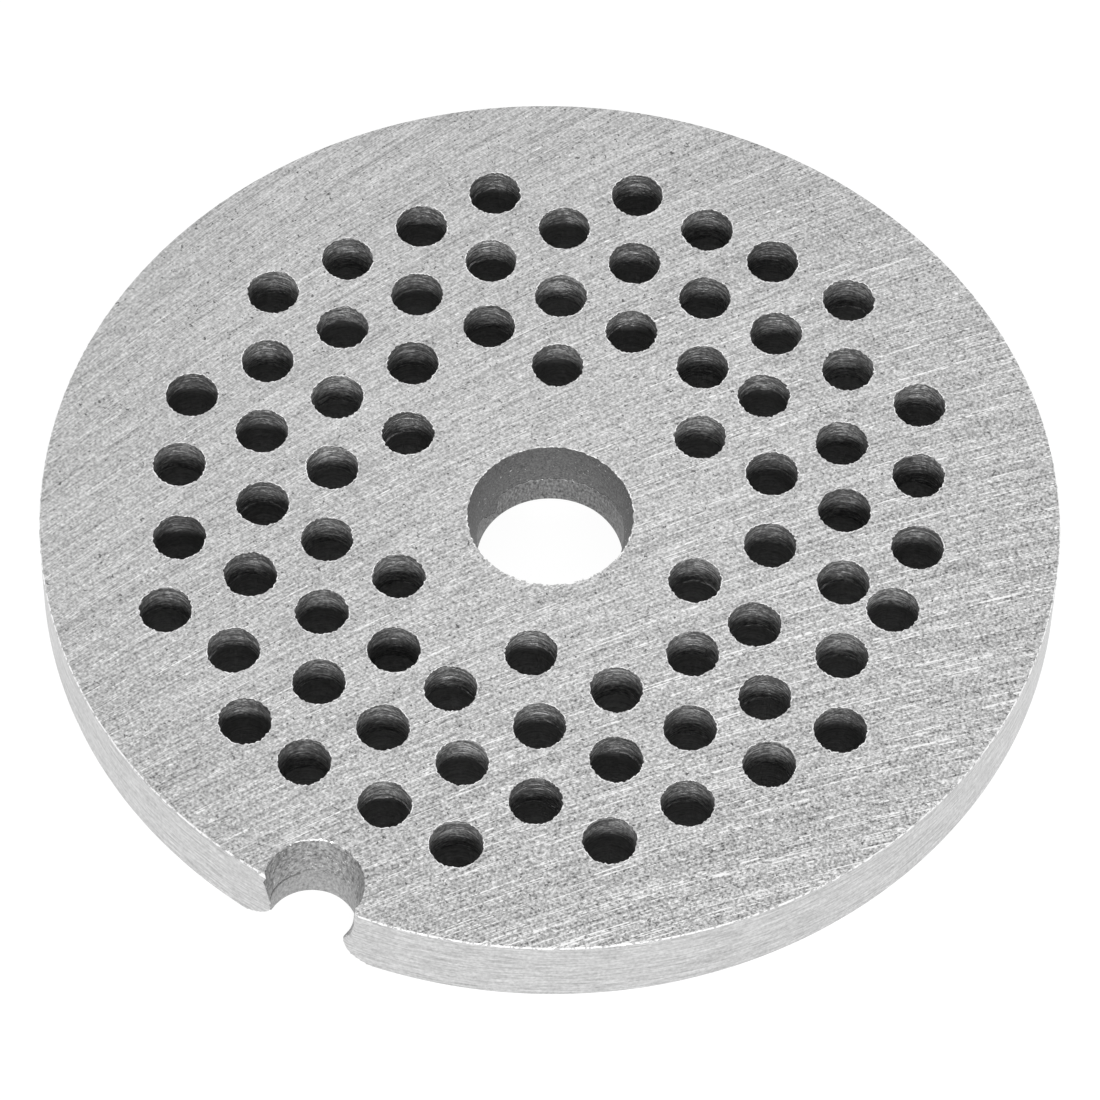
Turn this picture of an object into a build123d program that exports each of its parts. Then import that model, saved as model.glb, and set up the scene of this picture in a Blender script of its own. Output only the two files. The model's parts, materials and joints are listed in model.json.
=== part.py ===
"""Meat grinder plate, size 8, with 3.2 mm holes.

One steel disc in one piece. It is blanked from thick plate together with its bore and its key notch,
drilled with a staggered field of holes, turned true on the rim and ground flat on both faces.

Millimetres, +Z up. The origin is on the bore's axis, on the back face. The cutting face, which the
knife sweeps, is on top. The key notch is at -Y.
"""
import os
from math import hypot, sqrt

from build123d import *

# Disc
plate_diameter = 62.0
plate_thickness = 5.4
back_edge_break = 0.15          # small chamfer round the rim's back edge

# Bore. The punch came in from the back face. It left a straight burnished land first, and then the
# metal broke out to the wider die, which stood a little off the punch's axis.
bore_diameter = 9.1
bore_land_height = 2.3
bore_breakout = 0.5             # how much wider the mouth is than the land, on the radius
bore_mouth_shift = (0.25, -0.43)

# Key notch: half a round hole in the rim, for the pin that stops the plate from turning. It was
# punched in the same stroke as the bore, so its wall has the same two zones.
notch_diameter = 5.3
notch_inset = 1.0               # how far inside the rim the notch's centre lies
notch_land_x = -0.2
notch_land_height = 2.2
notch_breakout = 0.34
notch_mouth_shift = (0.2, -0.05)

# The notch's two lips, rolled over at the back face where the blank bent into the die
lip_roll_height = 2.0
lip_roll_width = 2.6
lip_roll_outset = 1.6           # how far outside the rim the axis of the roll stands
right_lip_rounding = 0.4        # the corner that the key pin has worn round

# Drilled holes: columns that stand half a pitch apart in turn, as the plate was stepped by hand
hole_diameter = 3.2
hole_pitch = 5.28               # from hole to hole along a column
column_pitch = 4.47             # from column to column
column_turn = 25.05             # degrees from +Y to the way a column runs
row_turn = 26.95                # degrees from +X to the way the columns are stepped
field_shift = (-0.06, 0.17)     # the field's middle, off the bore's axis
hub_wall = 3.6                  # solid ring between the bore's land and the first holes
rim_wall = 4.4                  # solid ring between the last holes and the rim

# Holes where the drill walked off its mark: {(column, place in the column): (x, y)}
walked_holes = {
    (5, -1.5): (-1.6, 0.0),
    (-1, -2.5): (-0.8, -0.5),
    (3, -1.5): (-0.5, -0.8),
    (3, 1.5): (-0.8, 0.2),
    (0, -2): (-0.6, -0.4),
    (-4, -2): (-0.5, -0.5),
    (-5, -1.5): (-0.4, -0.2),
    (-3, -3.5): (-0.3, -0.3),
    (-1, -4.5): (0.1, -0.4),
    (-2, -3): (-0.2, -0.4),
    (3, -2.5): (0.1, -0.4),
    (-4, 0): (0.4, 0.1),
    (1, -3.5): (0.0, 0.4),
    (3, 3.5): (-0.4, 0.1),
    (-5, 0.5): (-0.4, -0.1),
    (4, 1): (-0.1, -0.4),
    (3, -3.5): (0.2, 0.3),
    (-2, -4): (0.2, -0.3),
    (-4, -3): (0.3, 0.2),
    (-3, -2.5): (0.0, 0.3),
    (-1, 2.5): (0.0, 0.3),
}

plate_radius = plate_diameter / 2
bore_radius = bore_diameter / 2
notch_radius = notch_diameter / 2
hole_radius = hole_diameter / 2


def blank():
    """The plain disc, with its back edge broken."""
    disc = extrude(Circle(plate_radius), plate_thickness)
    back_edge = disc.edges().sort_by(Axis.Z)[0]
    return chamfer(back_edge, back_edge_break)


def punched_opening(land_radius, land_centre, land_height, breakout, mouth_shift):
    """Cutter for an opening punched from the back: a straight land, then a breakout to the mouth."""
    land_disc = Pos(*land_centre) * Circle(land_radius)
    mouth_centre = (land_centre[0] + mouth_shift[0], land_centre[1] + mouth_shift[1])
    mouth_disc = Pos(*mouth_centre) * Circle(land_radius + breakout)
    land = extrude(land_disc, land_height)
    break_out = loft([Pos(Z=land_height) * land_disc, Pos(Z=plate_thickness) * mouth_disc], ruled=True)
    return land + break_out


def lip_roll():
    """Cutter that rounds both lips of the notch at the back face and fades out along its wall.

    It is a bell on an axis outside the rim. Its throat just touches the lips' corners, so it takes
    most from them and nothing from the notch's inner end.
    """
    axis_y = plate_radius + lip_roll_outset
    lip_x = sqrt(notch_radius**2 - notch_inset**2)
    lip_y = sqrt(plate_radius**2 - lip_x**2)
    throat = hypot(lip_x, axis_y - lip_y)
    foot = throat + lip_roll_width
    with BuildSketch(Plane.XZ) as profile:
        with BuildLine():
            roll_centre = (foot, lip_roll_height)
            roll = EllipticalCenterArc(roll_centre, lip_roll_width, lip_roll_height, 180, arc_size=90)
            Polyline(roll @ 1, (0, 0), (0, lip_roll_height), roll @ 0)
        make_face()
    bell = revolve(profile.sketch, Axis.Z)
    return Pos(notch_land_x, -axis_y) * bell


def right_lip_corner(punched_disc):
    """The upright edges of the notch's right lip: one along the land and one along the breakout."""
    at_rim = punched_disc.edges().filter_by_position(Axis.Y, -plate_radius, notch_inset - plate_radius)
    on_right = at_rim.filter_by_position(Axis.X, 0, notch_diameter)
    return on_right.filter_by(lambda edge: edge.bounding_box().size.Z > notch_land_height / 2)


def hole_centres():
    """Centres of the drilled holes, between the hub's wall and the rim's."""
    along_column = Vector(0, hole_pitch).rotate(Axis.Z, column_turn)
    to_next_column = Vector(column_pitch, 0).rotate(Axis.Z, row_turn)
    nearest = bore_radius + hub_wall + hole_radius
    farthest = plate_radius - rim_wall - hole_radius
    reach = int(farthest / min(hole_pitch, column_pitch)) + 2
    centres = []
    for column in range(-reach, reach + 1):
        for step in range(-reach, reach + 1):
            place = step + 0.5 * (column % 2)
            mark = Vector(*field_shift) + to_next_column * column + along_column * place
            if nearest <= hypot(mark.X, mark.Y) <= farthest:
                walk = walked_holes.get((column, place), (0, 0))
                centres.append((mark.X + walk[0], mark.Y + walk[1]))
    return centres


def drilled_field():
    """Cutter for all the drilled holes."""
    drill_marks = Sketch() + [Pos(x, y) * Circle(hole_radius) for x, y in hole_centres()]
    return extrude(drill_marks, plate_thickness)


def grinder_plate():
    """The whole plate."""
    bore = punched_opening(bore_radius, (0, 0), bore_land_height, bore_breakout, bore_mouth_shift)
    centre = (notch_land_x, notch_inset - plate_radius)
    notch = punched_opening(notch_radius, centre, notch_land_height, notch_breakout, notch_mouth_shift)
    punched_disc = blank() - bore - notch
    rounded = fillet(right_lip_corner(punched_disc), right_lip_rounding)
    return rounded - lip_roll() - drilled_field()


os.makedirs("parts", exist_ok=True)
export_step(grinder_plate(), "parts/grinder_plate.step")
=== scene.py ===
"""The looks of a steel meat grinder plate.

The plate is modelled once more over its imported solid, with what machining and use left on it: the ragged
mouths of the drilled holes, the burr along the turned rim's edge, and the two zones that the punch left in
the bore and in the key notch. Shapes are worked out in millimetres and brought to metres at the end.
"""

import json
import math
import random

import bmesh
import bpy
from mathutils import Matrix, Vector, geometry, noise


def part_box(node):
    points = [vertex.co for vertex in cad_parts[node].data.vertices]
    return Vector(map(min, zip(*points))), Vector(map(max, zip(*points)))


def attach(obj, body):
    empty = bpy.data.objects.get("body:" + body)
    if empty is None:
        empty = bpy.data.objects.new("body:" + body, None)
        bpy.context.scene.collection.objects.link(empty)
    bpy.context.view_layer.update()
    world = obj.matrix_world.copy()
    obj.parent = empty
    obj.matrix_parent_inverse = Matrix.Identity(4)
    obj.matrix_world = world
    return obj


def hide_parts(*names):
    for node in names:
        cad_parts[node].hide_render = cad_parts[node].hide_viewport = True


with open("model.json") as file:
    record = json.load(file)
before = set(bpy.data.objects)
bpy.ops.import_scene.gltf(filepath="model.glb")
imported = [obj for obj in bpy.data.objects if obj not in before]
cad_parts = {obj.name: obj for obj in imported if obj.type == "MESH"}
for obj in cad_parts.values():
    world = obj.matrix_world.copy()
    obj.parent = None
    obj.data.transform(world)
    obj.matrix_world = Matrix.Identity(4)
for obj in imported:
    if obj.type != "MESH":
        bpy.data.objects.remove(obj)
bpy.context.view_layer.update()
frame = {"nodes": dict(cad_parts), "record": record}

MM = 0.001
TURN = 2 * math.pi


# ---------------------------------------------------------------------------------------------------------
# Sizes, all in millimetres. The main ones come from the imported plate.
# ---------------------------------------------------------------------------------------------------------

def outlines_of_top(mesh, top):
    """The closed edges round a mesh's flat top, each as a list of points in millimetres."""
    bm = bmesh.new()
    bm.from_mesh(mesh)
    bmesh.ops.scale(bm, vec=Vector((1, 1, 1)) / MM, verts=bm.verts)
    bmesh.ops.remove_doubles(bm, verts=bm.verts, dist=0.0005)
    not_top = [f for f in bm.faces if f.normal.z < 0.99 or abs(f.calc_center_median().z - top) > 0.01]
    bmesh.ops.delete(bm, geom=not_top, context="FACES")
    followed = set()
    outlines = []
    for edge in bm.edges:
        if edge in followed or not edge.is_boundary:
            continue
        followed.add(edge)
        start, corner = edge.verts
        points = [start.co.copy()]
        while corner != start:
            points.append(corner.co.copy())
            edge = next(e for e in corner.link_edges if e.is_boundary and e not in followed)
            followed.add(edge)
            corner = edge.other_vert(corner)
        outlines.append(points)
    bm.free()
    return outlines


def circle_through(a, b, c):
    """Centre and radius of the circle through three points, seen from above."""
    ab, ac = (b - a).xy, (c - a).xy
    twice_area = 2 * ab.cross(ac)
    x = (ac.y * ab.length_squared - ab.y * ac.length_squared) / twice_area
    y = (ab.x * ac.length_squared - ac.x * ab.length_squared) / twice_area
    return a.xy + Vector((x, y)), Vector((x, y)).length


def third_points(points):
    """Three points spread evenly round a closed outline."""
    return points[0], points[len(points) // 3], points[2 * len(points) // 3]


mounts = {mount["name"]: mount for mount in frame["record"]["mounts"]}
low, high = (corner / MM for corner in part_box("grinder_plate"))
plate_centre = Vector((0, 0))
plate_radius = min(-low.x, high.x, high.y)
plate_top = high.z

bore_land_radius = mounts["bore"]["dims"]["r_mm"]
notch_land_radius = mounts["key_notch"]["dims"]["r_mm"]
notch_land_top = mounts["key_notch"]["dims"]["length_mm"]
notch_land_centre = Vector(mounts["key_notch"]["pos_m"]).xy / MM

outlines = outlines_of_top(frame["nodes"]["grinder_plate"].data, plate_top)
outlines.sort(key=len)
outer_outline = outlines.pop()
circles = sorted((circle_through(*third_points(points)) for points in outlines), key=lambda c: c[1])
bore_mouth_centre, bore_mouth_radius = circles.pop()
drilled_holes = sorted(circles, key=lambda c: (round(c[0].y, 3), c[0].x))

clear_of_rim = 0.6               # points of the outline this far inside the rim are the notch's
notch_outline = [p for p in outer_outline if p.xy.length < plate_radius - clear_of_rim]
notch_outline.sort(key=lambda p: p.x)
notch_mouth_centre, notch_mouth_radius = circle_through(
    notch_outline[0], notch_outline[len(notch_outline) // 2], notch_outline[-1])

# The rolled lips, the rounded one and the chamfer, with the same values as in the part's source
lip_roll_height = 2.0
lip_roll_width = 2.6
lip_roll_outset = 1.6            # how far outside the rim the roll's axis stands
right_lip_rounding = 0.4
back_edge_break = 0.15

# The roll's axis, half the notch's gap in the rim, and the roll's throat, which just touches the lips
roll_axis = Vector((notch_land_centre.x, -plate_radius - lip_roll_outset))
half_gap = math.sqrt(notch_land_radius**2 - (plate_radius + notch_land_centre.y)**2)
roll_throat = math.hypot(half_gap, math.sqrt(plate_radius**2 - half_gap**2) + roll_axis.y)

# The burrs: feather edges that turning and grinding left along the cutting face, painted with glints
rim_burr_width = 0.06
rim_burr_height = 0.11
notch_burr_width = 0.05
notch_burr_share = 0.6           # its height, as a share of the rim's
bore_burr_width = 0.09
hole_burr_width = 0.06

# The drilled holes, each of them drilled from both faces
drillings_meet = (1.4, 3.1)      # how deep below the cutting face, at least and at most
drillings_apart = 0.09           # how far the two drillings' axes stand apart, at most
hole_nick_reach = 0.1            # how far out the nicks in a hole's mouth go
hole_nick_depth = 0.35           # and how far down

# The punched bore and notch
tear_depth = 0.09                # the crack where the metal let go, above each land
land_shoulder = 0.05             # how far below its torn end a land is straight
land_bulge = 0.14                # how far the bore's land stands in on one side
land_bulge_side = math.radians(170)
lip_roll_fade = 0.5              # over how far from a lip its roll fades along the notch's wall

# Where the bore's land ends: (degrees round from +X, height above the back face)
bore_tear = ((0, 2.6), (42, 2.9), (55, 2.75), (70, 2.4), (85, 2.2), (128, 2.05), (162, 2.1),
             (165, 0.6), (176, 1.15), (188, 2.0), (206, 2.4), (330, 2.2), (360, 2.6))

# How far the punch tore the notch's lips from true: (height above the back face, distance). A distance
# above 0 is away from the notch, and one below 0 is into it.
right_lip_tear = ((0, 0.05), (0.9, 0), (1.3, -0.2), (1.7, -0.4), (2.0, -0.36), (2.4, 0.05),
                  (2.8, 0.32), (3.4, 0.37), (4.1, 0.3), (4.6, 0.18), (5.4, 0))
left_lip_tear = ((0, 0.12), (0.6, 0), (1.0, -0.05), (2.2, -0.26), (3.0, -0.14), (3.8, -0.03),
                 (4.15, 0), (4.45, 0.12), (4.8, -0.02), (5.0, -0.16), (5.4, -0.08))
lip_tear_reach = 1.2             # how far from a lip its tear fades out

# The cup wheel that ground the cutting face
wheel_radius = 231.0
wheel_axis_x = 188.0             # where its axis passed, beside the plate's middle

# ---------------------------------------------------------------------------------------------------------
# The mesh
# ---------------------------------------------------------------------------------------------------------

# The finishes, in the order of the mesh's material slots
(GROUND, TURNED, DRILLED, BORE_BREAKOUT, BORE_LAND, NOTCH_BREAKOUT, NOTCH_LAND, BURR, RIM_BURR, TEAR,
 LEDGE, DEEP) = range(12)

# How many columns of faces each wall has
hole_columns = 104
bore_columns = 300
outer_columns = 1100             # the notch and the rim together
notch_share = 0.14               # the part of those that the notch takes
fillet_share = 0.06              # the part of the notch's that the rounded right lip takes
rim_columns = ((0, 0), (0.05, 0.022), (0.95, 0.978), (1, 1))     # the rest, closer together beside the lips

sharp_angle = math.radians(35)   # edges that turn more than this aren't smoothed over


def rough(x, y, z, grain):
    """Smooth noise from about -1 to 1, with bumps of that grain in millimetres."""
    return noise.noise(Vector((x, y, z)) / grain)


def blend(a, b, share):
    """The value that share of the way from a to b."""
    return a + (b - a) * share


def between(knots, x):
    """A value read off a line through a few (x, value) knots."""
    for (x0, v0), (x1, v1) in zip(knots, knots[1:]):
        if x <= x1:
            return blend(v0, v1, max(0.0, (x - x0) / (x1 - x0)))
    return knots[-1][1]


def rolled_wall(bm, around, down, place, finish):
    """A wall with no ends: a flat grid whose two sides meet. place(share round, level down) is where a
    corner goes, and finish(share round, level down) is the finish of a face."""
    grid = bmesh.ops.create_grid(bm, x_segments=around, y_segments=down, size=0.5)["verts"]
    faces = {face for vertex in grid for face in vertex.link_faces}
    for face in faces:
        middle = face.calc_center_median()
        face.material_index = finish(middle.x + 0.5, (0.5 - middle.y) * down)
        face.smooth = True
    for vertex in grid:
        share = vertex.co.x + 0.5 if vertex.co.x < 0.4999 else 0.0      # the last column meets the first
        vertex.co = place(share, round((0.5 - vertex.co.y) * down))


def drilled_hole(bm, number, centre, radius):
    """One drilled hole: a thin burr round a ragged mouth, and a wall that was drilled from both faces, so
    that its two halves meet at a small ledge."""
    dice = random.Random(number)
    meet = dice.uniform(*drillings_meet)
    missed = dice.uniform(0.0, drillings_apart)
    missed_way = dice.uniform(0, TURN)
    depths = (0.0, 0.0, 0.06, hole_nick_depth, meet, meet + 0.05, plate_top)    # of the levels
    ledge = 4                       # the level where the upper drilling ends
    seed = 7.3 * number             # each hole reads its own part of the noise

    def place(share, level):
        angle = share * TURN
        depth = depths[level]
        x, y = math.cos(angle), math.sin(angle)
        if level in (ledge, ledge + 1):
            depth += 0.16 * rough(x * radius, y * radius, seed + 20, 0.7)
            depth += 0.12 * rough(x * radius, y * radius, seed + 30, 0.2)
        nicks = hole_nick_reach * rough(x * radius, y * radius, seed, 0.13)
        nicks += 0.04 * rough(x, y, seed + 50, 0.7)
        wavy = 0.03 * rough(x * 2, y * 2, depth * 2 + seed, 1.0) * (1 - depth / plate_top)
        reach = radius + wavy + nicks * max(0.0, 1 - depth / hole_nick_depth)
        if level == 0:
            reach += hole_burr_width
        if level > ledge:
            reach += missed * math.cos(angle - missed_way)
        return Vector((centre.x + x * reach, centre.y + y * reach, plate_top - depth))

    def finish(share, level):
        if level < 1:
            return BURR
        return DRILLED if level < ledge + 1 else DEEP

    rolled_wall(bm, hole_columns, len(depths) - 1, place, finish)


def ragged(height, x, y):
    """A height at which a land ends, made uneven as the metal tore."""
    return height + 0.1 * rough(x, y, 3, 0.9) + 0.16 * rough(x, y, 8, 0.3)


def crack(x, y):
    """How deep the crack above a land is. Here and there it closes up."""
    return tear_depth * min(1.2, max(0.0, 0.7 + 1.5 * rough(x, y, 5, 0.6)))


def bore(bm):
    """The punched bore: breakout above, a cracked ledge, and the straight land below. Its noise is read on
    circles of 5 and 4.5 mm, near those of the mouth and the land."""
    levels = 21
    step = 12                       # the level of the crack's bottom
    crack_top = 0.07                # how far above the land's end the breakout starts

    def place(share, level):
        angle = share * TURN
        x, y = math.cos(angle), math.sin(angle)
        foot = ragged(between(bore_tear, share * 360), x * bore_land_radius, y * bore_land_radius)
        rise = min(1, max(0, 1 - (level - 1) / (step - 2)))         # 0 on the land and 1 at the mouth
        centre = bore_mouth_centre * rise
        radius = blend(bore_land_radius, bore_mouth_radius, rise)
        radius -= land_bulge * max(0, math.cos(angle - land_bulge_side)) * (1 - rise)
        if level < step:
            height = blend(foot + crack_top, plate_top, rise)
            radius += 0.03 * rough(x * 5, y * 5, height, 0.3) * rise
        if level <= 1:
            radius += 0.08 * rough(x * 5, y * 5, 9, 0.18) + (bore_burr_width if level == 0 else 0)
        if level == step:
            height = foot + 0.02
            radius += crack(x * 4.5, y * 4.5)
        if level == step + 1:
            height = foot
            radius += 0.35 * crack(x * 4.5, y * 4.5)
        if level > step + 1:
            height = (foot - land_shoulder) * (1 - (level - step - 2) / (levels - step - 2))
        return Vector((centre.x + x * radius, centre.y + y * radius, height))

    def finish(share, level):
        if level < 1:
            return BURR
        # The crack's two rows are painted dark as shade, and the ledge under it lighter, with painted glints
        if step - 1 <= level < step + 1:
            return TEAR
        if step + 1 <= level < step + 2:
            return LEDGE
        return BORE_BREAKOUT if level < step else BORE_LAND

    rolled_wall(bm, bore_columns, levels, place, finish)


def cross_point(centre_a, radius_a, centre_b, radius_b, side):
    """Where two circles cross, on the given side of the line from a to b."""
    apart = centre_b - centre_a
    distance = apart.length
    along = (radius_a**2 - radius_b**2 + distance**2) / (2 * distance)
    across = math.sqrt(radius_a**2 - along**2)
    forward = apart / distance
    left = Vector((-forward.y, forward.x))
    return centre_a + forward * along + left * across * side


def angle_of(point):
    """The way to a point, in radians round from +X."""
    return math.atan2(point.y, point.x)


def outline_point(share, rise, radius, wider):
    """A point of the plate's outline: round the notch from its left lip to its right, then round the rim.
    rise is 0 on the notch's land and 1 at its mouth, and wider is added to the notch's radius."""
    centre = notch_land_centre.lerp(notch_mouth_centre, rise)
    notch_radius = blend(notch_land_radius, notch_mouth_radius, rise) + wider
    left_lip = cross_point(plate_centre, radius, centre, notch_radius, -1)
    fillet = cross_point(plate_centre, radius - right_lip_rounding,
                         centre, notch_radius + right_lip_rounding, 1)
    arc_end = centre + (fillet - centre).normalized() * notch_radius
    rim_start = fillet.normalized() * radius
    if share < notch_share * (1 - fillet_share):
        start = angle_of(left_lip - centre) % TURN
        end = angle_of(arc_end - centre)
        angle = blend(start, end, share / (notch_share * (1 - fillet_share)))
        return centre + Vector((math.cos(angle), math.sin(angle))) * notch_radius
    if share < notch_share:
        start = angle_of(arc_end - fillet) % TURN
        end = angle_of(rim_start - fillet) % TURN
        angle = blend(start, end, 1 - (notch_share - share) / (notch_share * fillet_share))
        return fillet + Vector((math.cos(angle), math.sin(angle))) * right_lip_rounding
    start = angle_of(rim_start)
    end = angle_of(left_lip)
    if end < start:
        end += TURN
    angle = blend(start, end, between(rim_columns, (share - notch_share) / (1 - notch_share)))
    return Vector((math.cos(angle), math.sin(angle))) * radius


def rolled_back(point, height):
    """The point moved out of the way of the lips' roll-over at the back face."""
    if height >= lip_roll_height:
        return point
    drop = (lip_roll_height - height) / lip_roll_height
    reach = roll_throat + lip_roll_width * (1 - math.sqrt(1 - drop**2))
    arm = point - roll_axis
    return point if arm.length > reach else roll_axis + arm.normalized() * reach


def torn(point, rise, height):
    """The point moved as the punch tore the notch's lips."""
    centre = notch_land_centre.lerp(notch_mouth_centre, rise)
    notch_radius = blend(notch_land_radius, notch_mouth_radius, rise)
    for side, tear in ((1, right_lip_tear), (-1, left_lip_tear)):
        lip = cross_point(plate_centre, plate_radius, centre, notch_radius, side)
        nearness = max(0, 1 - (point - lip).length / lip_tear_reach)
        away = Vector((-lip.y, lip.x)).normalized() * side
        point = point + away * between(tear, height) * nearness**2
    return point


def outer_wall(bm):
    """The key notch and the rim, one wall all the way round."""
    step = 18                       # the level of the crack above the notch's land
    roll_levels = 10                # and those below it, bunched up towards the back face as the roll needs
    levels = step + 1 + roll_levels
    notch_end = notch_share * (1 - fillet_share)
    crack_end = notch_share * 0.3   # the crack runs from the left lip to here
    crack_top = 0.1                 # how far above the land's end the breakout starts

    def place(share, level):
        x, y = outline_point(share, 0, plate_radius, 0)
        foot = ragged(notch_land_top, x, y)
        in_notch = share < notch_end
        rise = min(1, max(0, 1 - (level - 1) / (step - 2)))
        radius = plate_radius
        wider = 0
        if level < step:
            height = blend(foot + crack_top, plate_top, rise)
        else:
            quarter_turn = math.pi / 2 * max(0, level - step - 1) / roll_levels
            height = min(lip_roll_height, foot - land_shoulder) * (1 - math.sin(quarter_turn))
        if level == step:
            height = foot
        if level == 0:
            radius -= rim_burr_width
        if level == 1:
            burr_height = rim_burr_height * (notch_burr_share if in_notch else 1)
            height = plate_top - burr_height * (1 + 0.9 * rough(x, y, 4, 0.4))
        if level <= 1 and in_notch:
            wider = 0.07 * rough(x, y, 7, 0.22)
        if level == 0 and in_notch:
            wider += notch_burr_width + 0.04 * rough(x, y, 6, 0.15)
        if level == step and in_notch:
            wider = crack(x, y) * max(0, 1 - share / crack_end)
        if in_notch and 1 < level < step:
            wider = 0.03 * rough(x * 3, y * 3, height * 3, 0.9)
        radius -= max(0, back_edge_break - height)
        point = outline_point(share, rise, radius, wider)
        rolled = rolled_back(point, height)
        if in_notch:
            lip = outline_point(0 if share < notch_share / 2 else notch_end, rise, radius, wider)
            nearness = 1.5 - (point - lip).length / lip_roll_fade
            rolled = point.lerp(rolled, min(1, max(0.1, nearness)))
        point = torn(rolled, rise, height)
        return Vector((point.x, max(low.y, point.y), height))       # a torn lip stays in the solid's box

    def finish(share, level):
        if level < 1:
            # In the notch, beside both lips, the burr gets the ground finish and none of its painted glints
            burr_glints_painted = share > notch_end or 0.03 < share / notch_share < 0.8
            return RIM_BURR if burr_glints_painted else GROUND
        if level < 3 and share > 0.995:
            return RIM_BURR         # the rim burr's painted glints, on the left lip where the burr folded over
        if share > notch_share * (1 - fillet_share / 2):
            return TURNED
        if step <= level < step + 1 and share < crack_end:
            return BORE_BREAKOUT    # the crack's bottom, painted dark as shade
        return NOTCH_BREAKOUT if level < step else NOTCH_LAND

    rolled_wall(bm, outer_columns, levels, place, finish)


def sides(triangle):
    """A triangle's three sides, each as a pair of corners in either order."""
    return [frozenset(pair) for pair in zip(triangle, triangle[1:] + triangle[:1])]


def close_face(bm, height):
    """Fills a flat face between the walls' open edges at that height. Triangles are made over the holes
    too, so only those that can be reached from the rim without crossing a wall are kept."""
    edges = [e for e in bm.edges if e.is_boundary and abs(e.verts[0].co.z - height) < 0.02]
    corners = list(dict.fromkeys(corner for edge in edges for corner in edge.verts))
    number = {corner: i for i, corner in enumerate(corners)}
    walls = [tuple(number[corner] for corner in edge.verts) for edge in edges]
    inside_outline = 1
    filled = geometry.delaunay_2d_cdt([c.co.xy for c in corners], walls, [], inside_outline, 1e-6)
    triangles = [tuple(filled[3][i][0] for i in triangle) for triangle in filled[2]]
    on_side = {}
    for triangle in triangles:
        for side in sides(triangle):
            on_side.setdefault(side, []).append(triangle)
    walls = {frozenset(wall) for wall in walls}
    leftmost = min(range(len(corners)), key=lambda i: corners[i].co.x)
    waiting = [next(triangle for triangle in triangles if leftmost in triangle)]
    reached = set(waiting)
    while waiting:
        for side in sides(waiting.pop()):
            if side not in walls:
                found = [triangle for triangle in on_side[side] if triangle not in reached]
                reached.update(found)
                waiting.extend(found)
    for triangle in triangles:
        if triangle in reached:
            bm.faces.new([corners[i] for i in triangle]).material_index = GROUND


def dressed_plate():
    """The whole plate as one closed mesh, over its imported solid."""
    bm = bmesh.new()
    for number, (centre, radius) in enumerate(drilled_holes):
        drilled_hole(bm, number, centre, radius)
    bore(bm)
    outer_wall(bm)
    bmesh.ops.remove_doubles(bm, verts=bm.verts, dist=0.0002)
    close_face(bm, plate_top)
    close_face(bm, 0)
    bmesh.ops.recalc_face_normals(bm, faces=bm.faces)
    for edge in bm.edges:
        if edge.calc_face_angle(0) > sharp_angle:
            edge.smooth = False
    bmesh.ops.scale(bm, vec=Vector((1, 1, 1)) * MM, verts=bm.verts)
    mesh = bpy.data.meshes.new("plate_with_machining_marks")
    bm.to_mesh(mesh)
    bm.free()
    piece = bpy.data.objects.new("plate_with_machining_marks", mesh)
    bpy.context.scene.collection.objects.link(piece)
    return piece


# ---------------------------------------------------------------------------------------------------------
# Materials
# ---------------------------------------------------------------------------------------------------------

def linear(hex_colour):
    """An sRGB hex colour as linear red, green, blue and alpha."""
    channels = [int(hex_colour[i:i + 2], 16) / 255 for i in (1, 3, 5)]
    return [c / 12.92 if c <= 0.04045 else ((c + 0.055) / 1.055) ** 2.4 for c in channels] + [1.0]


def node(tree, kind, settings=None, links=None):
    """Adds a node, with its settings, and links its inputs from other nodes' outputs. A number stands for
    the input in that place: a Mix of colours has its factor at 0 and its two colours at 6 and 7."""
    added = tree.nodes.new(kind)
    for name, value in (settings or {}).items():
        if isinstance(name, int) or name in added.inputs:
            added.inputs[name].default_value = value
        else:
            setattr(added, name, value)
    for name, source in (links or {}).items():
        tree.links.new(source, added.inputs[name])
    return added


def wheel_arcs(tree):
    """Coordinates along and across the marks of the grinding wheel. The plate was fed along Y under a wide
    cup wheel, so each grit left the same arc as the one before, a little further along Y."""
    where = node(tree, "ShaderNodeTexCoord")
    x, y, z = node(tree, "ShaderNodeSeparateXYZ", {}, {0: where.outputs["Object"]}).outputs
    from_axis = node(tree, "ShaderNodeMath", {"operation": "SUBTRACT", 1: wheel_axis_x * MM}, {0: x})
    sine = node(tree, "ShaderNodeMath", {"operation": "DIVIDE", 1: wheel_radius * MM},
                {0: from_axis.outputs[0]})
    swing = node(tree, "ShaderNodeMath", {"operation": "ARCSINE"}, {0: sine.outputs[0]})
    along = node(tree, "ShaderNodeMath", {"operation": "MULTIPLY", 1: wheel_radius * MM},
                 {0: swing.outputs[0]})
    cosine = node(tree, "ShaderNodeMath", {"operation": "COSINE"}, {0: swing.outputs[0]})
    ahead = node(tree, "ShaderNodeMath", {"operation": "MULTIPLY_ADD", 1: -wheel_radius * MM},
                 {0: cosine.outputs[0], 2: y})
    slope = math.sqrt(1 - (wheel_axis_x / wheel_radius)**2)
    across = node(tree, "ShaderNodeMath", {"operation": "MULTIPLY", 1: slope}, {0: ahead.outputs[0]})
    arcs = node(tree, "ShaderNodeCombineXYZ", {}, {0: along.outputs[0], 1: across.outputs[0], 2: z})
    return arcs.outputs[0]


def grain(tree, size, where=None, detail=1.0):
    """A cloudy pattern whose grains have that size in millimetres. It runs from about 0.2 to 0.8."""
    where = where or node(tree, "ShaderNodeTexCoord").outputs["Object"]
    grains = node(tree, "ShaderNodeVectorMath", {"operation": "DIVIDE", 1: [side * MM for side in size]},
                  {0: where})
    noise_settings = {"Scale": 1.0, "Detail": detail, "Roughness": 0.6}
    return node(tree, "ShaderNodeTexNoise", noise_settings, {"Vector": grains.outputs[0]}).outputs[0]


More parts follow.
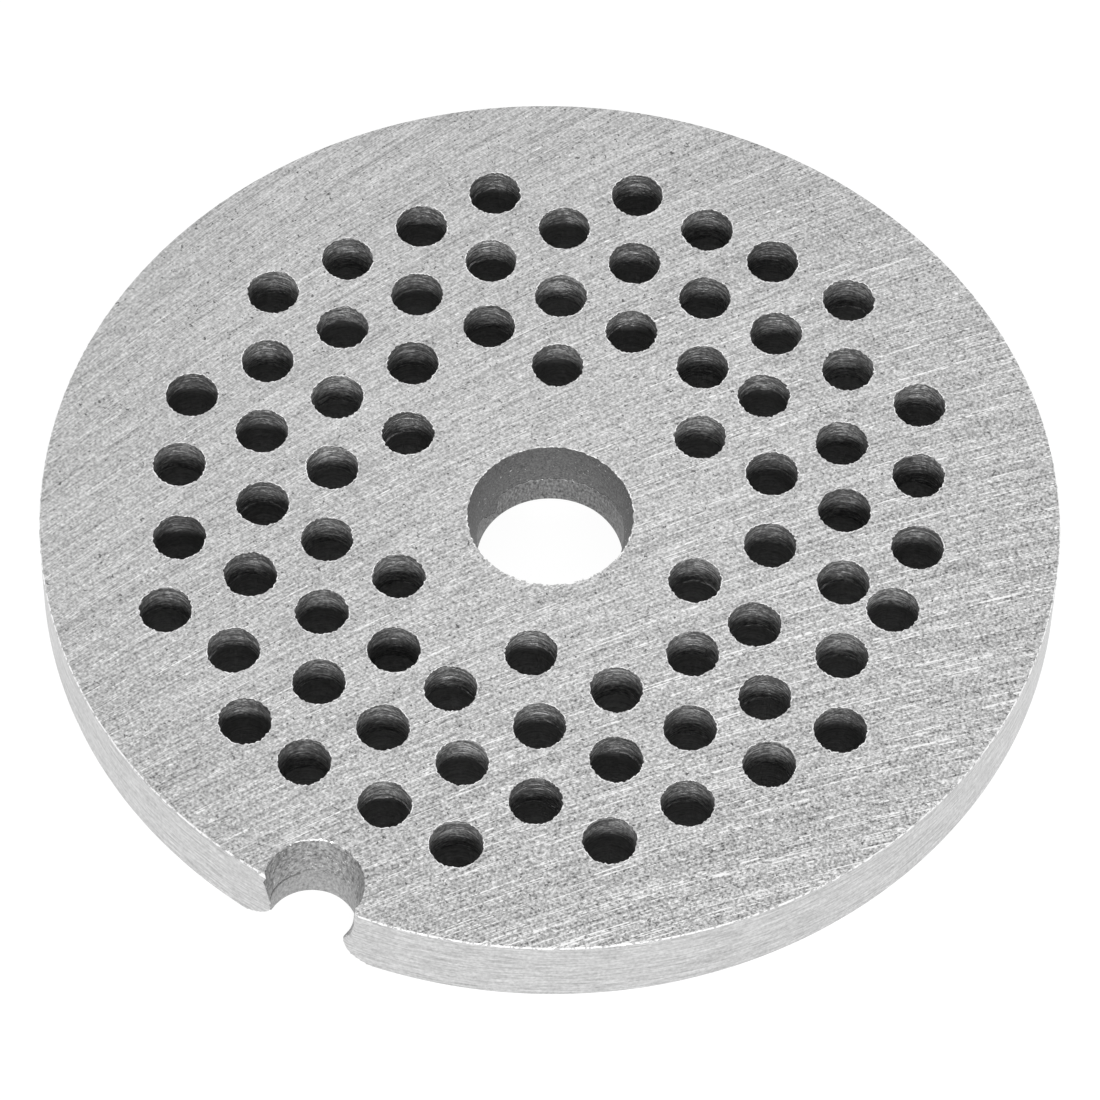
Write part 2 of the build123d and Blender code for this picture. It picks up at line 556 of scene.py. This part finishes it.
def sum_of(tree, layers, contrast=None):
    """0.5 plus what each (strength, pattern) layer departs from 0.5, times the contrast."""
    total = None
    for strength, pattern in layers:
        centred = {"operation": "MULTIPLY_ADD", 1: strength, 2: -0.5 * strength}
        scaled = node(tree, "ShaderNodeMath", centred, {0: pattern})
        if total:
            scaled = node(tree, "ShaderNodeMath", {"operation": "ADD"}, {0: total, 1: scaled.outputs[0]})
        total = scaled.outputs[0]
    spread = node(tree, "ShaderNodeMath", {"operation": "MULTIPLY_ADD", 1: 1.0, 2: 0.5}, {0: total})
    if contrast:
        tree.links.new(contrast, spread.inputs[1])
    return spread.outputs[0]


def ramp(tree, value, steps):
    """The tone that (position, sRGB hex) steps give a value."""
    made = node(tree, "ShaderNodeValToRGB", {}, {"Fac": value})
    elements = made.color_ramp.elements
    while len(elements) < len(steps):
        elements.new(1.0)
    for element, (position, tone) in zip(elements, steps):
        element.position = position
        element.color = linear(tone)
    return made.outputs["Color"]


def steel(name, roughness):
    """Bare steel: the material, its nodes and its shader."""
    material = bpy.data.materials.new(name)
    material.use_nodes = True
    shader = material.node_tree.nodes["Principled BSDF"]
    shader.inputs["Metallic"].default_value = 1.0
    shader.inputs["Roughness"].default_value = roughness
    return material, material.node_tree, shader.inputs["Base Color"]


def surface_ground():
    """Surface-ground: fine parallel arcs, and between them the torn speckle of a coarse wheel. Here and
    there a deeper scratch carries a painted glint. The speckle and the painted glints grow stronger towards
    +X and the notch, and the face is a little lighter towards the hub. The finest arcs and pits are drawn
    0.07 to 0.25 mm wide, which is coarser than a wheel cuts, so that they show."""
    material, tree, colour = steel("surface_ground_steel_with_painted_glints", 0.45)
    arcs = wheel_arcs(tree)
    where = node(tree, "ShaderNodeTexCoord").outputs["Object"]
    contrast_way = {"operation": "DOT_PRODUCT", 1: (10.0, -5.0, 0)}      # how much the contrast grows per metre
    contrast_growth = node(tree, "ShaderNodeVectorMath", contrast_way, {0: where}).outputs["Value"]
    contrast = node(tree, "ShaderNodeMath", {"operation": "ADD", 1: 1.0}, {0: contrast_growth}).outputs[0]
    torn_grit = sum_of(tree, [(1.3, grain(tree, (0.17, 0.17, 0.17), detail=2))], contrast)
    height = sum_of(tree, [
        (1.0, torn_grit),
        (0.5, grain(tree, (0.6, 0.1, 1), arcs)),
        (0.4, grain(tree, (3, 0.08, 1), arcs)),
        (0.5, grain(tree, (12, 0.09, 1), arcs)),
        (0.15, grain(tree, (10, 0.5, 1), arcs)),
    ])
    from_hub = node(tree, "ShaderNodeVectorMath", {"operation": "LENGTH"}, {0: where}).outputs["Value"]
    outward = node(tree, "ShaderNodeMath", {"operation": "DIVIDE", 1: plate_radius * MM}, {0: from_hub})
    squared = node(tree, "ShaderNodeMath", {"operation": "POWER", 1: 2.0}, {0: outward.outputs[0]})
    # This adds 0.04 at the hub and takes 0.015 at the rim, so the face is a little lighter towards the hub
    hub_lift = node(tree, "ShaderNodeMath", {"operation": "MULTIPLY_ADD", 1: -0.055, 2: 0.04},
                  {0: squared.outputs[0]})
    hub_lifted = node(tree, "ShaderNodeMath", {"operation": "ADD"}, {0: height, 1: hub_lift.outputs[0]})
    face = ramp(tree, hub_lifted.outputs[0], [(0.0, "#505050"), (0.5, "#C2C2C2"), (1.0, "#FFFFFF")])
    pits = ramp(tree, grain(tree, (0.24, 0.24, 0.24)), [(0.25, "#FFFFFF"), (0.32, "#000000")])
    pitted = node(tree, "ShaderNodeMix", {"data_type": "RGBA", 7: linear("#686868")}, {0: pits, 6: face})
    # Painted glints: where this scratch pattern runs high, the face is mixed towards white
    scratch = sum_of(tree, [
        (0.8, grain(tree, (2.5, 0.07, 1), arcs)),
        (0.7, grain(tree, (12, 0.08, 1), arcs)),
        (0.6, grain(tree, (0.3, 0.3, 0.3))),
    ], contrast)
    bright = ramp(tree, scratch, [(0.68, "#000000"), (0.76, "#FFFFFF")])
    with_painted_glints = node(tree, "ShaderNodeMix", {"data_type": "RGBA", 7: linear("#FFFFFF")},
                     {0: bright, 6: pitted.outputs[2]})
    tree.links.new(with_painted_glints.outputs[2], colour)
    return material


def turned():
    """Turned on a lathe: a fine mottle, with faint streaks that run round the rim."""
    material, tree, colour = steel("turned_steel", 0.45)
    height = sum_of(tree, [
        (0.9, grain(tree, (0.22, 0.22, 0.22), detail=2)),
        (1.1, grain(tree, (1.8, 1.8, 0.14))),
    ])
    tree.links.new(ramp(tree, height, [(0.0, "#A0A0A0"), (1.0, "#ECECEC")]), colour)
    return material


def drilled(name, rings, painted_shading_by_height, relief):
    """Drilled: rings that the drill's lips left, about 0.12 mm apart, and painted light and shade that set
    the wall's tone by height. The rings' relief is in millimetres."""
    material, tree, colour = steel(name, 0.65)
    height = sum_of(tree, [
        (1.1, grain(tree, (1.5, 1.5, 0.12), detail=2)),
        (1.0, grain(tree, (0.25, 0.25, 0.15), detail=2)),
        (0.5, grain(tree, (6, 6, 6))),
    ])
    wall = ramp(tree, height, rings)
    bump = node(tree, "ShaderNodeBump", {"Strength": 1.0, "Distance": relief * MM}, {"Height": height})
    tree.links.new(bump.outputs[0], tree.nodes["Principled BSDF"].inputs["Normal"])
    # Painted light and shade: the wall's tone is multiplied by a ramp over its height
    where = node(tree, "ShaderNodeTexCoord").outputs["Object"]
    up = node(tree, "ShaderNodeSeparateXYZ", {}, {0: where}).outputs["Z"]
    rise = node(tree, "ShaderNodeMath", {"operation": "DIVIDE", 1: plate_top * MM}, {0: up}).outputs[0]
    painted_shading = node(tree, "ShaderNodeMix", {"data_type": "RGBA", "blend_type": "MULTIPLY", 0: 1.0},
                   {6: wall, 7: ramp(tree, rise, painted_shading_by_height)})
    tree.links.new(painted_shading.outputs[2], colour)
    return material


def punched(name, dark, light, speck, glint):
    """Punched: a dull wall with specks of a size in millimetres, and small painted glints. A glint near 0.6
    gives many painted glints, and 0.8 almost none."""
    material, tree, colour = steel(name, 0.6)
    wall = ramp(tree, grain(tree, speck, detail=2), [(0.25, dark), (0.75, light)])
    # Painted glints: where this nick pattern runs high, the wall is mixed to white
    nicks = grain(tree, (0.16, 0.16, 0.12), detail=1)
    bright = ramp(tree, nicks, [(glint, "#000000"), (glint + 0.06, "#FFFFFF")])
    with_painted_nick_glints = node(tree, "ShaderNodeMix", {"data_type": "RGBA", 7: linear("#FFFFFF")}, {0: bright, 6: wall})
    tree.links.new(with_painted_nick_glints.outputs[2], colour)
    return material


def burr(name, painted_glint_start):
    """The feather edge of a burr: thin, and in patches painted white as a glint; a higher share paints
    fewer.
    """
    material, tree, colour = steel(name, 0.4)
    pattern = grain(tree, (0.25, 0.25, 0.25))
    tree.links.new(ramp(tree, pattern, [(painted_glint_start, "#C0C0C0"), (painted_glint_start + 0.1, "#FFFFFF")]), colour)
    return material


finishes = {
    GROUND: surface_ground(),
    TURNED: turned(),
    # The upper part of a hole: clear bright rings, with painted shade that dulls them with depth
    DRILLED: drilled("drilled_steel", [(0.1, "#5C5C5C"), (0.5, "#9E9E9E"), (0.8, "#F0F0F0")],
                     [(0.45, "#C4C4C4"), (0.85, "#FFFFFF")], 0.08),
    # The lower part: a film of grease that hides most of the rings, and painted light that makes it lighter
    # towards the bottom
    DEEP: drilled("greasy_drilled_steel_painted_light", [(0.2, "#8A8A8A"), (0.8, "#BCBCBC")],
                  [(0.2, "#FFFFFF"), (0.7, "#D8D8D8")], 0.02),
    # Where the metal broke out: dull and fine-grained in the bore, lighter and with painted glints in the
    # notch
    BORE_BREAKOUT: punched("bore_breakout_steel", "#585858", "#949494", (0.14, 0.14, 0.14), 0.72),
    NOTCH_BREAKOUT: punched("notch_breakout_steel_with_painted_glints", "#606060", "#D0D0D0", (0.23, 0.23, 0.23), 0.68),
    # Where the punch sheared it straight: specked in the bore, smoother and lighter in the notch
    BORE_LAND: punched("bore_land_steel", "#4C4C4C", "#ACACAC", (0.13, 0.13, 0.25), 0.8),
    NOTCH_LAND: punched("notch_land_steel", "#888888", "#C4C4C4", (0.15, 0.15, 0.25), 0.8),
    # In the bore, the crack between the two, painted dark as shade, and the broken ledge under it, painted
    # lighter with glints
    TEAR: punched("torn_steel_painted_shade", "#303030", "#585858", (0.3, 0.3, 0.3), 0.8),
    LEDGE: punched("ledge_steel_painted_highlight", "#686868", "#C8C8C8", (0.3, 0.3, 0.3), 0.66),
    BURR: burr("mouth_burr_steel_painted_glints", 0.48),
    RIM_BURR: burr("rim_burr_steel_painted_glints", 0.38),
}

plate = dressed_plate()
for finish in sorted(finishes):
    plate.data.materials.append(finishes[finish])
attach(plate, "root")
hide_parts("grinder_plate")

# ---------------------------------------------------------------------------------------------------------
# Floor, light and camera
# ---------------------------------------------------------------------------------------------------------

floor_reach = 1.5                # metres from the middle to each side
floor_drop = 0.00002             # metres under the back face, so that the two don't lie in one plane

floor_bm = bmesh.new()
bmesh.ops.create_grid(floor_bm, x_segments=1, y_segments=1, size=floor_reach)
bmesh.ops.translate(floor_bm, vec=(0, 0, -floor_drop), verts=floor_bm.verts)
floor_mesh = bpy.data.meshes.new("floor")
floor_bm.to_mesh(floor_mesh)
floor_bm.free()
floor = bpy.data.objects.new("floor", floor_mesh)
bpy.context.scene.collection.objects.link(floor)


def white_table():
    """A matt white table. The camera sees it as nearly plain white, with a little of the plate's shadow on
    it, and so do reflections of the places where nothing stands on it."""
    glow_share = 0.85            # of what is seen; the rest is the matt table and its shadow
    glow_strength = 1.12         # enough to make both together white
    material = bpy.data.materials.new("white_table")
    material.use_nodes = True
    tree = material.node_tree
    tree.nodes.clear()
    path = node(tree, "ShaderNodeLightPath")
    where = node(tree, "ShaderNodeTexCoord").outputs["Object"]
    bare = None                  # 1 round the plate, in its bore and in its notch
    for centre, radius, side in ((plate_centre, plate_radius, "GREATER_THAN"),
                                 (plate_centre, bore_land_radius, "LESS_THAN"),
                                 (notch_land_centre, notch_land_radius, "LESS_THAN")):
        to_centre = {"operation": "DISTANCE", 1: (centre.x * MM, centre.y * MM, 0)}
        reach = node(tree, "ShaderNodeVectorMath", to_centre, {0: where}).outputs["Value"]
        here = node(tree, "ShaderNodeMath", {"operation": side, 1: radius * MM}, {0: reach}).outputs[0]
        if bare:
            here = node(tree, "ShaderNodeMath", {"operation": "MAXIMUM"}, {0: bare, 1: here}).outputs[0]
        bare = here
    mirrored = node(tree, "ShaderNodeMath", {"operation": "MULTIPLY"},
                    {0: bare, 1: path.outputs["Is Glossy Ray"]})
    seen = node(tree, "ShaderNodeMath", {"operation": "MAXIMUM"},
                {0: path.outputs["Is Camera Ray"], 1: mirrored.outputs[0]})
    seen = node(tree, "ShaderNodeMath", {"operation": "MAXIMUM"},
                {0: seen.outputs[0], 1: path.outputs["Is Transmission Ray"]})
    share = node(tree, "ShaderNodeMath", {"operation": "MULTIPLY", 1: glow_share}, {0: seen.outputs[0]})
    matt = node(tree, "ShaderNodeBsdfDiffuse", {"Color": linear("#F0F0F0")})
    glow = node(tree, "ShaderNodeEmission", {"Color": (1, 1, 1, 1), "Strength": glow_strength})
    mix = node(tree, "ShaderNodeMixShader", {},
               {0: share.outputs[0], 1: matt.outputs[0], 2: glow.outputs[0]})
    node(tree, "ShaderNodeOutputMaterial", {}, {"Surface": mix.outputs[0]})
    return material


floor.data.materials.append(white_table())

scene = bpy.context.scene
world = bpy.data.worlds.new("studio")
world.use_nodes = True
background = world.node_tree.nodes["Background"]
background.inputs["Color"].default_value = (1, 1, 1, 1)
background.inputs["Strength"].default_value = 0.35
scene.world = world
scene.view_settings.view_transform = "Standard"


def soft_box(name, place, size, watts):
    """A square soft box that shines at the plate, with its place and size in metres."""
    lamp = bpy.data.lights.new(name, "AREA")
    lamp.shape = "SQUARE"
    lamp.size = size
    lamp.energy = watts
    box = bpy.data.objects.new(name, lamp)
    box.location = place
    box.rotation_euler = (-box.location).to_track_quat("-Z", "Y").to_euler()
    scene.collection.objects.link(box)


soft_box("back_soft_box", (-0.45, 0.9, 1.3), 2.4, 13.0)
soft_box("front_soft_box", (0.65, -1.3, 0.75), 0.4, 20.0)

# The camera: degrees and millimetres
camera_azimuth = 26.287
camera_elevation = 55.927
camera_roll = 1.353
camera_distance = 397.48
camera_aim = Vector((1.3875, -2.6911, plate_top))
camera_lens = 215.06

azimuth, elevation = math.radians(camera_azimuth), math.radians(camera_elevation)
backward = Vector((math.sin(azimuth) * math.cos(elevation),
                   -math.cos(azimuth) * math.cos(elevation), math.sin(elevation)))
lens = bpy.data.cameras.new("camera")
lens.sensor_width = 36
lens.lens = camera_lens
lens.clip_start = 0.01
lens.clip_end = 10
camera = bpy.data.objects.new("camera", lens)
roll = Matrix.Rotation(math.radians(camera_roll), 3, "Z")
turn = (-backward).to_track_quat("-Z", "Y").to_matrix() @ roll
camera.matrix_world = Matrix.Translation((camera_aim + backward * camera_distance) * MM) @ turn.to_4x4()
scene.collection.objects.link(camera)
scene.camera = camera
